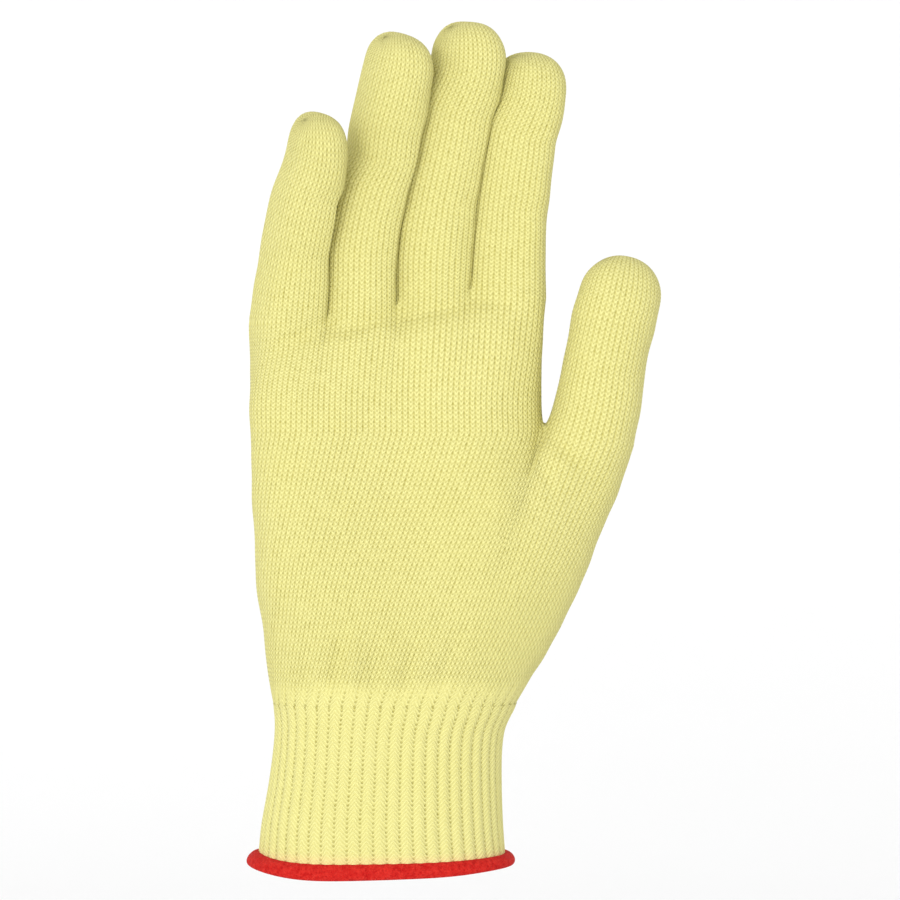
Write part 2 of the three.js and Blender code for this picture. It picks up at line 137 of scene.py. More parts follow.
# name, left line, web heights at the left and right, forward, curl, depth, and the shares of
# the length over which the neighbours on the left and right touch it
fingers = [
    ("little", 1, -0.070, -0.045, 0.08, 1.15, 0.90, 0, 1),
    ("ring", 2, -0.045, 0.000, 0.00, 0.95, 0.98, 0.68, 1),
    ("middle", 3, 0.000, 0.060, -0.04, 0.75, 1.00, 1, 1),
    ("index", 4, 0.060, 0.030, -0.03, 0.60, 1.00, 1, 0),
]
print(len(body_sections) + len(palm_sections), "sections and", len(fingers), "fingers")

# %% [markdown]
# ## Curves through tables and round outlines
# A table row says how wide and deep the hand is at one height. A smooth curve through the rows
# fills in the heights between, and a squarish ellipse through left, right, front and back makes
# each outline. Its columns are spaced evenly along it, because stitches are all of one width.

# %% Helpers for tables
def smooth(t):
    s = np.clip(t, 0.0, 1.0)
    return s * s * (3 - 2 * s)


def along(table, up, column):
    """The value of one column at a height, on a smooth curve through the rows."""
    ups, values = table[:, 0], table[:, column]
    i = int(np.clip(np.searchsorted(ups, up), 1, len(ups) - 1))
    slopes = np.array([
        (values[min(k + 1, len(ups) - 1)] - values[max(k - 1, 0)])
        / (ups[min(k + 1, len(ups) - 1)] - ups[max(k - 1, 0)])
        for k in (i - 1, i)
    ])
    span = ups[i] - ups[i - 1]
    s = float(np.clip((up - ups[i - 1]) / span, 0, 1))
    lead = slopes[0] * s * (1 - s) ** 2
    tail = slopes[1] * s * s * (s - 1)
    return values[i - 1] + (values[i] - values[i - 1]) * smooth(s) + span * (lead + tail)


narrowest = min(along(thumb_sections, share, 2) for share in np.linspace(0, 1, 21))
print("the thumb narrows to", round(narrowest * thumb_width / MM, 1), "mm")

# %% Helpers for outlines
# How square each outline is: 2 is an ellipse, and more is squarer.
digit_squareness = 2.25
palm_squareness = 2.5
body_squareness = 2.4
cuff_squareness = 2.3
# An outline is worked out in many steps, from which the columns are read.
outline_steps = 801
digit_steps = 321


def outline(angles, squareness):
    """Unit outline: angle 0 at the left, then the front, the right and the back."""
    power = 2 / squareness
    side = np.sign(np.cos(angles)) * np.abs(np.cos(angles)) ** power
    depth = np.sign(np.sin(angles)) * np.abs(np.sin(angles)) ** power
    return -side, -depth


def evenly(places, x, y, *more):
    """x, y and more at the given shares of the way along an outline, its two halves alike."""
    reach = np.concatenate([[0], np.cumsum(np.hypot(np.diff(x), np.diff(y)))])
    half = len(x) // 2
    share = np.where(
        np.arange(len(x)) <= half,
        0.5 * reach / reach[half],
        0.5 + 0.5 * (reach - reach[half]) / (reach[-1] - reach[half]),
    )
    return [np.interp(np.mod(places, 1.0), share, values) for values in (x, y, *more)]


def level_ring(places, left, right, front, back, z, squareness):
    """Points of a level outline at the given shares of the way round it."""
    side, depth = outline(np.linspace(0, 2 * np.pi, outline_steps), squareness)
    x = (left + right) / 2 + (right - left) / 2 * side
    y = np.where(depth < 0, front, back) * depth
    return np.stack([*evenly(places, x, y), np.full(len(places), z)], axis=1)


def section_ring(table, share, z, places, squareness):
    left, right = (palm_width * along(table, share, k) for k in (1, 2))
    front, back = (palm_depth * along(table, share, k) for k in (3, 4))
    return level_ring(places, left, right, front, back, z, squareness)


palm_rim = section_ring(palm_sections, 0, 0, np.linspace(0, 1, 201), palm_squareness)
girth = np.linalg.norm(np.diff(palm_rim, axis=0), axis=1).sum()
print("palm is", round(girth / MM), "mm round")

# %% [markdown]
# ## Fingers and thumb
# On a seamless glove each finger is knitted as its own tube, and its wales run straight up to a
# short closed line over the tip. So each digit is a stack of rings along a middle line that
# curls to the front, with the last ring closed from front to back.

# %% Middle lines of the digits
finger_gap = 0.15 * MM
# How far a finger's outline shifts sideways for each unit of depth, as if laid over.
finger_lay = 0.4
curl_power = 1.7
finger_taper = 0.2
thumb_taper = 0.24
# The thumb starts this share of its whole reach in front of the palm's middle.
thumb_start = 0.35


def finger_spine(name, line, web_left, web_right, forward, curl, depth):
    foot = longest_finger * (web_left + web_right) / 2

    def at(share):
        """Centre, width and depth at a share of the length, from the web to the tip."""
        rise = foot + (finger_lengths[name] - foot) * share
        left, right = (
            palm_width * along(finger_lines, rise / longest_finger, k) for k in (line, line + 1)
        )
        y = -finger_depth * (forward + curl * max(share, 0) ** curl_power)
        centre = np.array([(left + right) / 2, y, web_height + rise])
        width = right - left - finger_gap
        return centre, width, finger_depth * depth * (1 - finger_taper * share)

    return at


def thumb_spine(share):
    x = palm_width * palm_sections[0, 2] + thumb_spread * along(thumb_sections, share, 1)
    y = -thumb_reach * (thumb_start + (1 - thumb_start) * share)
    centre = np.array([x, y, thumb_crotch + thumb_length * share])
    # The solid's outline is laid over as the fingers' are. This one isn't, so it is made wider.
    laid_over = math.hypot(1, finger_lay * thumb_depth / thumb_width)
    width = thumb_width * along(thumb_sections, share, 2) * laid_over
    return centre, width, thumb_depth * (1 - thumb_taper * share)


for name, *shape in fingers:
    tip_place = finger_spine(name, *shape[:6])(1)[0]
    print(name, "fingertip at", (tip_place / MM).round(1), "mm")

# %% Where fingers touch
# A filled finger lies flat against the next one on its right, and slips under it on its left.
slip_under = 4.0 * MM
press_right = 3.0 * MM
press_ease = 0.8 * MM
# Contact is full up to the first share of the part that touches, and fades out over the second.
contact_full, contact_fade = 0.78, 0.22


def pressed(side, half_width, left, right):
    """Places across a finger, from -1 to 1, in metres. left and right say how much of the
    contact on that side is there, from 0 to 1."""
    reach = np.abs(side) * (half_width + np.where(side < 0, left * slip_under, right * press_right))
    over = np.maximum(reach - (half_width - press_ease), 0)
    flat = np.minimum(reach, half_width - press_ease) + press_ease * np.tanh(over / press_ease)
    return np.sign(side) * np.where(side > 0, reach + (flat - reach) * right, reach)


def contact_at(share, end):
    """1 along the part of a finger that touches its neighbour, fading out to 0 at its end."""
    return 1 - smooth((share / end - contact_full) / contact_fade) if end else 0.0


free = finger_depth / 2 + press_right
flat = pressed(np.array([1.0]), finger_depth / 2, 0, 1)[0]
print("a side", round(free / MM, 1), "mm out is pressed to", round(flat / MM, 1), "mm")

# %% Fingertips
tip_share = 0.58  # height of the rounded tip, as a share of the width
dome_power = 0.4  # below 0.5, the tip is flatter on top than a ball
closing_pull = 0.42  # share by which the closing line is shorter than the finger is wide
least_open = 0.03  # share by which the last ring stays open


def cap_openings(thick, tip):
    """How open each row over a fingertip is, with the rows one course apart."""
    turn = np.linspace(0, np.pi / 2, 400)
    opening = np.cos(turn) ** (2 / digit_squareness)
    climbed = (1 - opening ** digit_squareness) ** dome_power
    steps = np.hypot(np.diff(opening) * thick / 2, np.diff(climbed) * tip)
    reach = np.concatenate([[0], np.cumsum(steps)])
    rows = max(round(reach[-1] / course_height), 4)
    goals = reach[-1] * np.arange(1, rows + 1) / rows
    return np.maximum(np.interp(goals, reach, opening), least_open)


def frame_at(spine, share):
    """Unit vectors along a digit, across it and through it, at a share of its length."""
    axis = spine(min(share + 0.01, 1))[0] - spine(max(share - 0.01, 0))[0]
    axis /= np.linalg.norm(axis)
    across = np.array([1.0, 0, 0]) - axis[0] * axis
    across /= np.linalg.norm(across)
    return axis, across, np.cross(axis, across)


def cap_rings(spine, tip_start, side, depth, openings, lay):
    """Rings over a fingertip, from the unit outline of the last straight one."""
    rings = []
    for opening in openings:
        x = side * (1 - closing_pull * (1 - opening))
        y = depth * opening
        inside = 1 - np.abs(x) ** digit_squareness - np.abs(y) ** digit_squareness
        over = np.clip(inside, 0, 1) ** dome_power
        ring = []
        for k in range(len(side)):
            share = tip_start + (1 - tip_start) * over[k]
            centre, width, thick = spine(share)
            _, across, through = frame_at(spine, share)
            reach = thick / 2 * y[k]
            sideways = width / 2 * across[0] * x[k] - lay * reach
            ring.append(centre + across * sideways + through * reach)
        rings.append(np.array(ring))
    return rings


tip_rows = len(cap_openings(finger_depth, finger_depth * tip_share))
print("a tip on a round finger closes in", tip_rows, "rows")

# %% Rings of a digit
finger_columns, thumb_columns = 88, 88
thumb_slant = -0.05 * thumb_width  # rise of the thumb's foot from left to right
slant_fade = 2.2  # the slant of a foot is gone at 1 / 2.2 of the length
# share of the length, spread along it, and how deep the crease cuts into the front
creases = [(0.36, 0.05, 0.07), (0.67, 0.045, 0.06)]


def digit_rings(spine, length, slant, columns, lay, contact_ends=(0, 0)):
    """Rings from the foot of a digit to its closing line, one course apart."""
    places = np.arange(columns) / columns
    round_side, round_depth = outline(np.linspace(0, 2 * np.pi, digit_steps), digit_squareness)
    tip = spine(1)[1] * tip_share
    tip_start = 1 - tip / length
    straight = round((length - tip) / course_height)
    rings = []
    for row in range(straight + 1):
        share = tip_start * row / straight
        centre, width, thick = spine(share)
        axis, across, through = frame_at(spine, share)
        crease = sum(c[2] * math.exp(-(((share - c[0]) / c[1]) ** 2)) for c in creases)
        lean = slant * (1 - smooth(share * slant_fade)) / 2
        left, right = (contact_at(row / straight, end) for end in contact_ends)
        reach = thick / 2 * np.where(round_depth < 0, 1 - crease, 1) * round_depth
        shift = lay * reach * (1 - right * (1 + round_side) / 2)
        x = across[0] * pressed(round_side, width / 2, left, right) - shift
        x, reach, side = evenly(places, x, reach, round_side)
        ring = centre + np.outer(x, across) + np.outer(reach, through)
        rings.append(ring + np.outer(lean * side, axis))
    _, width, thick = spine(tip_start)
    x, reach = width / 2 * round_side, thick / 2 * round_depth
    _, _, side, depth = evenly(places, x - lay * reach, reach, round_side, round_depth)
    return rings + cap_rings(spine, tip_start, side, depth, cap_openings(thick, tip), lay)


thumb_rings = digit_rings(thumb_spine, thumb_length, thumb_slant, thumb_columns, lay=0)
print("the thumb has", len(thumb_rings), "rings of", thumb_columns, "points")

# %% [markdown]
# ## One net for the whole hand
# A machine joins the finger tubes at their webs, knits on down the palm, lets the thumb in at
# the side and goes on to the wrist. The net is built the same way: the side columns of two
# neighbouring fingers are welded over a short web, and all the other columns run on into the
# palm. A union of separate shapes would cut every wale at the webs.

# %% A net of rows and columns
closing_stitch = 0.4  # height of the closing stitches, in courses


class Net:
    """Points and faces in rows and columns, with a stitch coordinate at each face corner."""

    def __init__(self):
        self.points, self.faces, self.stitches, self.stacks = [], [], [], []

    def add(self, ring):
        start = len(self.points)
        self.points.extend(ring)
        return list(range(start, start + len(ring)))

    def join(self, lower, upper, course):
        """Quads between two rings. The stitches are counted round, and up from this course."""
        count = len(lower)
        for i in range(count):
            k = (i + 1) % count
            self.faces.append((lower[i], lower[k], upper[k], upper[i]))
            w, above = i / 2, course + 1
            self.stitches.append(((w, course), (w + 0.5, course), (w + 0.5, above), (w, above)))

    def weld(self, ring, right, following, web):
        """Welds the right side of a ring to the left side of the following one."""
        for k in range(-web, web + 1):
            a, b = ring[right + k], following[-k % len(following)]
            self.points[a] = (self.points[a] + self.points[b]) / 2
            following[-k % len(following)] = a

    def raise_digit(self, rings, foot, course):
        """Joins the rings of a digit from its foot up, and closes the last from front to back."""
        lower = foot
        for row, ring in enumerate(rings[1:]):
            upper = self.add(ring)
            self.join(lower, upper, course + row)
            lower = upper
        count, half, top = len(lower), len(lower) // 2, course + len(rings) - 1
        end = top + closing_stitch
        for k in range(half):
            corners = (lower[k], lower[k + 1], lower[(-k - 1) % count], lower[-k % count])
            marks = ((k / 2, top), ((k + 1) / 2, top), ((k + 1) / 2, end), (k / 2, end))
            keep = [i for i in range(4) if corners[i] not in corners[:i]]
            self.faces.append(tuple(corners[i] for i in keep))
            self.stitches.append(tuple(marks[i] for i in keep))

    def climb(self, low, high, rows, ring_at, start, swell, course):
        """Rows from a level ring to a lobed one. The lobes begin to show in outline at start, and
        to swell from front to back at swell."""
        offset = np.array([self.points[i] for i in high]) - ring_at(1.0)
        begin = np.array([start, swell, start])
        stack = [low]
        for row in range(1, rows):
            share = row / rows
            ring = ring_at(share) + offset * smooth((share - begin) / (1 - begin))
            stack.append(self.add(list(ring)))
        stack.append(high)
        for row in range(rows):
            self.join(stack[row], stack[row + 1], course + row)
        self.stacks.append(np.array(stack))

    def drop_unused(self):
        """Leaves out the points that welding took the place of."""
        used = sorted({point for face in self.faces for point in face})
        place = {point: i for i, point in enumerate(used)}
        self.faces = [tuple(place[point] for point in face) for face in self.faces]
        self.points = np.array([self.points[point] for point in used])
        self.stacks = [np.vectorize(place.get)(stack) for stack in self.stacks]


print("a row of the net is", course_height / MM, "mm high")

# %% The net of the hand
web_columns, thumb_web_columns = 9, 4
# How far the wales turn round the hand over the palm and over the body, in turns.
palm_turn, body_turn = 0.012, 0.055


class HandNet(Net):
    """Four fingers on a palm, and the thumb let in where the body of the hand begins."""

    def __init__(self):
        super().__init__()
        self.tips = [thumb_spine(1)[0]]
        self.build()

    def finger_feet(self):
        """Rings and foot of each finger, the feet welded to one another at the webs."""
        feet = []
        for name, line, web_left, web_right, forward, curl, depth, *ends in fingers:
            spine = finger_spine(name, line, web_left, web_right, forward, curl, depth)
            slant = longest_finger * (web_right - web_left)
            length = finger_lengths[name]
            rings = digit_rings(spine, length, slant, finger_columns, finger_lay, ends)
            self.tips.append(spine(1)[0])
            feet.append((rings, self.add(list(rings[0]))))
        for (_, foot), (_, following) in zip(feet, feet[1:]):
            self.weld(foot, finger_columns // 2, following, web_columns)
        return feet

    def around_fingers(self, feet):
        """The ring round all four feet: along the front to the right, and back behind."""
        n, half, web = finger_columns, finger_columns // 2, web_columns
        top = []
        for i, (_, foot) in enumerate(feet):
            first, last = (0 if i == 0 else web + 1), (half if i == 3 else half - web)
            top += foot[first:last + 1]
        for i in (3, 2, 1, 0):
            first = half + 1 if i == 3 else half + web + 1
            last = n - 1 if i == 0 else n - web
            top += feet[i][1][first:last + 1]
        return top

    def build(self):
        feet = self.finger_feet()
        for rings, foot in feet:
            self.raise_digit(rings, foot, 0)
        top = self.around_fingers(feet)

        palm_count = len(top)
        palm_rows = round(palm_length / course_height)
        turned = 2 * round(palm_turn * palm_count / 2)

        def palm_ring(share):
            places = np.arange(palm_count) / palm_count - turned / palm_count * (1 - share)
            z = thumb_crotch + palm_length * share
            return section_ring(palm_sections, share, z, places, palm_squareness)

        palm_foot = self.add(list(palm_ring(0.0)))
        thumb_foot = self.add(list(thumb_rings[0]))
        right, web = palm_count // 2 + turned, thumb_web_columns
        self.weld(palm_foot, right, thumb_foot, web)
        self.raise_digit(thumb_rings, thumb_foot, -palm_rows)
        self.climb(palm_foot, top, palm_rows, palm_ring, start=0.1, swell=0.72, course=-palm_rows)

        body_top = (
            palm_foot[:right - web + 1]
            + thumb_foot[web + 1:thumb_columns - web]
            + palm_foot[right + web:]
        )
        body_count = len(body_top)
        body_rows = round(body_length / course_height)
        lag = turned / body_count

        def body_ring(share):
            places = np.arange(body_count) / body_count - lag - body_turn * (1 - share)
            z = hand_foot + body_length * share
            return section_ring(body_sections, share, z, places, body_squareness)

        foot = self.add(list(body_ring(0.0)))
        lowest = -palm_rows - body_rows
        self.climb(foot, body_top, body_rows, body_ring, start=0.3, swell=0.8, course=lowest)
        self.body_phase, self.body_columns = lag + body_turn, body_count
        self.drop_unused()


print("a finger has", finger_columns // 2, "wales, and two share", 2 * web_columns + 1, "columns")

# %% Knit the hand
net = HandNet()
print("net of", len(net.points), "points, with", net.body_columns // 2, "wales round the body")

# %% [markdown]
# ## Soft forms
# The hand in the glove shows as mounds, a hollow and a few folds. Each is one row of a table: a
# soft hill or dent with a place, a length, a width, a turn and a rise. Sculpting by hand would
# give the same forms, but a table can be read and corrected.

# %% Mounds, hollows and folds
# across, up, long, wide, turn in degrees, rise as a share of palm depth
forms = [
    # hollow of the palm, and the two mounds beside it
    (0.05, 0.60, 0.29, 0.19, -8, -0.15),
    (-0.31, 0.40, 0.26, 0.12, 0, 0.08),
    (0.45, 0.42, 0.25, 0.19, 24, 0.15),
    # pads under the four fingers
    (0.43, 0.93, 0.08, 0.10, 0, 0.05),
    (0.18, 0.90, 0.08, 0.10, 0, 0.05),
    (-0.07, 0.87, 0.08, 0.10, 0, 0.05),
    (-0.31, 0.83, 0.08, 0.10, 0, 0.04),
    # folds where the little, ring, middle and index fingers bend
    (-0.262, 0.925, 0.080, 0.028, 66, -0.060),
    (-0.060, 0.955, 0.080, 0.022, 70, -0.060),
    (0.200, 0.990, 0.090, 0.020, 77, -0.050),
    (0.400, 1.010, 0.060, 0.022, -70, -0.035),
    # dip and folds under the thumb crotch
    (0.477, 0.566, 0.080, 0.055, -8, -0.055),
    (0.633, 0.625, 0.085, 0.018, -43, -0.060),
    (0.560, 0.560, 0.060, 0.016, -20, -0.025),
    # gathers over the ribs
    (-0.145, 0.090, 0.085, 0.030, 9, -0.065),
    (-0.090, 0.085, 0.080, 0.024, 4, 0.040),
    (-0.020, 0.070, 0.080, 0.030, 3, -0.050),
    (0.090, 0.080, 0.090, 0.024, 14, -0.045),
    (0.230, 0.110, 0.100, 0.028, 22, -0.040),
    (-0.250, 0.090, 0.090, 0.028, 2, -0.035),
    # fold along the outer edge
    (-0.385, 0.250, 0.200, 0.030, 3, 0.045),
    (-0.335, 0.230, 0.180, 0.024, 4, -0.030),
]


def form_height(points):
    total = np.zeros(len(points))
    for across, up, long, wide, turn, rise in forms:
        x = points[:, 0] - across * palm_width
        z = points[:, 2] - hand_foot - up * hand_length
        c, s = math.cos(math.radians(turn)), math.sin(math.radians(turn))
        sideways = (x * c - z * s) / (wide * palm_width)
        lengthwise = (x * s + z * c) / (long * hand_length)
        total += rise * palm_depth * np.exp(-sideways ** 2 - lengthwise ** 2)
    return total


highest = max(row[5] for row in forms) * palm_depth
print(len(forms), "soft forms, the highest", round(highest / MM, 1), "mm")

# %% Slight unevenness
# wave length and height in millimetres, direction in degrees, start in turns
ripples = [
    (31, 0.16, 20, 0.1),
    (23, 0.12, 75, 0.4),
    (17, 0.09, 130, 0.7),
    (12, 0.06, 165, 0.2),
    (9, 0.05, 50, 0.5),
]
depth_share = 0.4  # how far the waves also run from front to back


def ripple(points):
    """Slight unevenness of hand-filled cloth."""
    total = np.zeros(len(points))
    for length, height, turn, start in ripples:
        c, s = math.cos(math.radians(turn)), math.sin(math.radians(turn))
        along_wave = points[:, 0] * c + points[:, 2] * s + depth_share * points[:, 1]
        total += height * MM * np.sin(2 * np.pi * (along_wave / (length * MM) + start))
    return total


print("unevenness up to", round(np.abs(ripple(net.points)).max() / MM, 2), "mm")

# %% Helpers that read the net
def normals_of(points, faces):
    """Unit normals at the points of a net, from the faces round each."""
    fours = np.array([f if len(f) == 4 else (f[0], f[1], f[2], f[2]) for f in faces])
    a, b, c, d = (points[fours[:, k]] for k in range(4))
    face_normals = np.cross(c - a, d - b)
    three = np.array([len(f) == 3 for f in faces])
    face_normals[three] = np.cross(b - a, c - a)[three]
    normals = np.zeros_like(points)
    for k in range(4):
        np.add.at(normals, fours[:, k], face_normals)
    return normals / np.maximum(np.linalg.norm(normals, axis=1, keepdims=True), 1e-12)


def relax(points, faces, weight, times):
    """Draws each point towards the middle of its neighbours, as far as its weight says."""
    edges = {tuple(sorted((f[k], f[(k + 1) % len(f)]))) for f in faces for k in range(len(f))}
    edges = np.array(sorted(edges))
    degree = np.bincount(edges.ravel(), minlength=len(points))[:, None]
    for _ in range(times):
        total = np.zeros_like(points)
        np.add.at(total, edges[:, 0], points[edges[:, 1]])
        np.add.at(total, edges[:, 1], points[edges[:, 0]])
        points = points + weight[:, None] * (total / degree - points)
    return points


def nearness(points, spots, reach):
    """1 at the nearest of some spots in the picture plane, fading out over a reach."""
    near = np.zeros(len(points))
    for x, z in spots:
        away = (points[:, 0] - x) ** 2 + (points[:, 2] - z) ** 2
        near = np.maximum(near, np.exp(-away / reach ** 2))
    return near


facing_front = (normals_of(net.points, net.faces)[:, 1] < 0).mean()
print(round(100 * facing_front), "% of the points face the front")

# %% Shape the hand
crotches = [(palm_width * along(finger_lines, 0, k), web_height) for k in (2, 3, 4)]
crotches.append((palm_width * palm_sections[0, 2], thumb_crotch))
closings = [(tip[0], tip[2]) for tip in net.tips]
crotch_reach, closing_reach, relief_reach = 7 * MM, 4 * MM, 6 * MM
relax_share, relax_times = 0.6, 8
front_gain = 1.4  # the forms are full where the cloth faces the front by 1 / 1.4 or more
foot_margin = 1 * MM  # the foot of the hand keeps the outline of the cuff up to here
form_fade = 0.1 * body_length


def shaped(net):
    near = np.maximum(
        nearness(net.points, crotches, crotch_reach), nearness(net.points, closings, closing_reach)
    )
    points = relax(net.points, net.faces, relax_share * near, relax_times)
    normals = normals_of(points, net.faces)
    facing = smooth(-normals[:, 1] * front_gain)
    fade = smooth((points[:, 2] - hand_foot - foot_margin) / form_fade)
    points[:, 1] -= form_height(points) * facing * fade
    return points + normals * (ripple(points) * fade)[:, None]


hand_points = shaped(net)
moved = np.linalg.norm(hand_points - net.points, axis=1).max()
print("shaping moved the cloth by", round(moved / MM, 1), "mm at most")

# %% [markdown]
# ## From net to mesh
# The outer face carries the wales as real ridges: each second column sinks a little along its
# normal. The inner face lies one wall further in. It is never seen closely, so a coarse net of
# the same form is enough there.

# %% Relief of wales and ribs
wale_relief = 0.16 * MM
relief_fade = 7 * MM
rib_count = 50
rib_height = 0.5 * MM
valley_power = 1.3  # above 1, the ribs are wider than the valleys
# The ribs lose the first share of their height below the foot of the hand, the rest above it.
fade_below, reach_below = 0.45, 6 * MM
fade_above, reach_above = 0.55, 8 * MM


def wale_sink(net):
    """How far each point sinks: none at the middle of a wale, all of the relief between two."""
    sink = np.zeros(len(net.points))
    for face, marks in zip(net.faces, net.stitches):
        for point, (wale, _) in zip(face, marks):
            sink[point] = (wale % 1) * 2
    return sink


def rib_wave(share_round):
    """0 on the crest of a rib and 1 in the valley between two."""
    return ((1 - np.cos(2 * np.pi * rib_count * share_round)) / 2) ** valley_power


def rib_fade(z):
    """The ribs at full height on the cuff, fading out over the foot of the hand."""
    below = fade_below * smooth((z - hand_foot + reach_below) / reach_below)
    return 1 - below - fade_above * smooth((z - hand_foot) / reach_above)


print("ribs keep", round(float(rib_fade(hand_foot)), 2), "of their height at the foot of the hand")

# %% Make the hand mesh
inner_rows, inner_columns = 3, 4  # mesh rows and columns of the outer face to one inside


def mesh_object(name, points, faces, stitches=None):
    mesh = bpy.data.meshes.new(name)
    mesh.from_pydata([tuple(p) for p in points], [], faces)
    if stitches is not None:
        layer = mesh.uv_layers.new(name="stitches")
        layer.data.foreach_set("uv", np.array([uv for face in stitches for uv in face]).ravel())
    mesh.polygons.foreach_set("use_smooth", [True] * len(mesh.polygons))
    mesh.update()
    made = bpy.data.objects.new(name, mesh)
    bpy.context.collection.objects.link(made)
    print(name, "has", len(faces), "faces")
    return made


def hand_mesh(net, outer):
    normals = normals_of(outer, net.faces)
    sink = wale_sink(net) * wale_relief
    sink *= smooth((outer[:, 2] - hand_foot - foot_margin) / relief_fade)
    # The wales run into one another at the closing of a fingertip.
    sink *= 1 - nearness(outer, closings, relief_reach)
    for row in net.stacks[1]:
        waves = rib_wave(np.arange(len(row)) / len(row) - net.body_phase)
        sink[row] += rib_height * rib_fade(outer[row, 2]) * waves
    worn = outer - normals * sink[:, None]
    points, faces, stitches = [worn], list(net.faces), list(net.stitches)
    shift = len(worn)
    for stack in net.stacks:
        rows = list(range(0, len(stack) - inner_rows, inner_rows)) + [len(stack) - 1]
        grid = stack[rows][:, ::inner_columns]
        points.append(outer[grid.ravel()] - normals[grid.ravel()] * (wall + rib_height))
        count = grid.shape[1]
        for r in range(len(rows) - 1):
            low, high = inner_rows * r, inner_rows * (r + 1)
            for i in range(count):
                a, b = shift + r * count + i, shift + r * count + (i + 1) % count
                left, right = inner_columns / 2 * i, inner_columns / 2 * (i + 1)
                faces.append((a, a + count, b + count, b))
                stitches.append(((left, low), (left, high), (right, high), (right, low)))
        shift += grid.size
    return mesh_object("hand_cloth", np.vstack(points), faces, stitches)


hand = hand_mesh(net, hand_points)

# %% [markdown]
# ## The cuff
# The wrist is knitted as a mock rib over elastic thread. It draws in between the ribs, and each
# rib shows its stitches as a row of chevrons. Ribs deep enough to see are part of the mesh.

# %% Rings of the cuff
hem_tilt = 0.6 * MM
hem_lift = 1.7 * MM
lift_power = 6
blend_start = 0.8  # from this share of its height, the cuff takes on the outline of the hand
# up, width as a share of the cuff's, middle as a share of the palm's width
cuff_sections = np.array([
    (0.00, 1.060, 0.000),
    (0.22, 1.036, 0.002),
    (0.49, 1.000, 0.012),
    (0.72, 0.984, 0.021),
    (0.88, 0.998, 0.031),
    (1.00, 1.030, 0.042),
])


def cuff_ring(places, share, grow, edge):
    """A ring of the cuff, grown or shrunk, and lifted and tilted by edge at the hem."""
    half_width = cuff_width / 2 * along(cuff_sections, share, 1) + grow
    half_depth = cuff_depth / 2 * along(cuff_sections, share, 1) + grow
    middle = palm_width * along(cuff_sections, share, 2)
    left, right = middle - half_width, middle + half_width
    z = cuff_foot + cuff_length * share
    ring = level_ring(places, left, right, half_depth, half_depth, z, cuff_squareness)
    side = (ring[:, 0] - middle) / half_width
    ring[:, 2] += edge * (hem_lift * np.maximum(-side, 0) ** lift_power + hem_tilt * side)
    top = section_ring(body_sections, 0, z, places, body_squareness)
    blend = max((share - blend_start) / (1 - blend_start), 0) ** 2
    ring[:, :2] += (top[:, :2] - ring[:, :2]) * blend
    return ring


def edge_at(share):
    """How much of the hem's lift and tilt is there: all at the hem, none above a third."""
    return 1 - smooth(share * 3)


def outward(ring):
    """Level unit vectors that point away from the middle of the cuff."""
    x, y = ring[:, 0] / cuff_width, ring[:, 1] / cuff_depth
    away = np.stack([x, y, 0 * x], axis=1)
    return away / np.linalg.norm(away, axis=1, keepdims=True)


edge_heights = cuff_ring(np.linspace(0, 1, 101), 0, 0, 1)[:, 2]
print("the hem's edge rises and falls by", round(np.ptp(edge_heights) / MM, 1), "mm")

# %% Knit the cuff
columns_per_rib = 8
cuff_turn = -0.01
tuck_height = 1.5 * MM
tuck_depth = 0.15 * MM
inside_columns, inside_rows = 100, 12


def tube(rings, inside=False):
    """Points and faces of a stack of rings, with stitches counted round and up."""
    count = len(rings[0])
    points = np.vstack(rings)
    faces, stitches = [], []
    for row in range(len(rings) - 1):
        for i in range(count):
            k = (i + 1) % count
            quad = (row * count + i, row * count + k, (row + 1) * count + k, (row + 1) * count + i)
            marks = ((i, row), (i + 1, row), (i + 1, row + 1), (i, row + 1))
            faces.append(quad[::-1] if inside else quad)
            stitches.append(marks[::-1] if inside else marks)
    return points, faces, stitches


def cuff_mesh():
    count = rib_count * columns_per_rib
    places = np.arange(count) / count
    rows = round(cuff_length / (course_height * 0.5))
    wave = rib_wave(places)
    outer = []
    for row in range(rows + 1):
        share = row / rows
        turned = places - cuff_turn * (1 - share)
        ring = cuff_ring(turned, share, 0, edge_at(share))
        ring[:, 2] += cuff_gap * share
        away = outward(ring)
        ribs = rib_height * rib_fade(ring[:, 2])
        outer.append(ring - away * (wave * ribs)[:, None])
    # The last row tucks in behind the foot of the hand.
    tuck = section_ring(
        body_sections, tuck_height / body_length, hand_foot + tuck_height, places, body_squareness
    )
    outer.append(tuck - away * (wave * ribs + tuck_depth)[:, None])
    places_inside = np.arange(inside_columns) / inside_columns
    inner = [
        cuff_ring(places_inside, share, -wall - rib_height, edge_at(share))
        for share in np.linspace(0, 1, inside_rows)
    ]
    points, faces, stitches = tube(outer)
    # Two wales make a rib, and two mesh rows make a course.
    stitches = [tuple((w * 2 / columns_per_rib, c / 2) for w, c in marks) for marks in stitches]
    more, inner_faces, inner_stitches = tube(inner, inside=True)
    faces += [tuple(i + len(points) for i in face) for face in inner_faces]
    stitches += inner_stitches
    return mesh_object("cuff_rib", np.vstack([points, more]), faces, stitches)


cuff = cuff_mesh()

# %% [markdown]
# ## The hem
# The cut edge is bound with red overlock thread, wound so densely that it looks like felt. It is
# a rounded band that hangs from the edge and stands out at the sides of the wrist. A pipe of
# even thickness would be simpler, but it would hide how the band flares.

# %% Wind the hem
hem_height = 4.2 * MM
hem_thickness = 2.8 * MM
hem_flare = math.radians(50)
front_flare = 0.3  # share of the flare in front and behind
flare_start, flare_reach = 0.35, 0.6  # where it grows, by how far the edge faces sideways
side_share = 0.1  # the hem is taller by this share at the left, and shorter at the right
hem_columns, hem_around = 600, 28


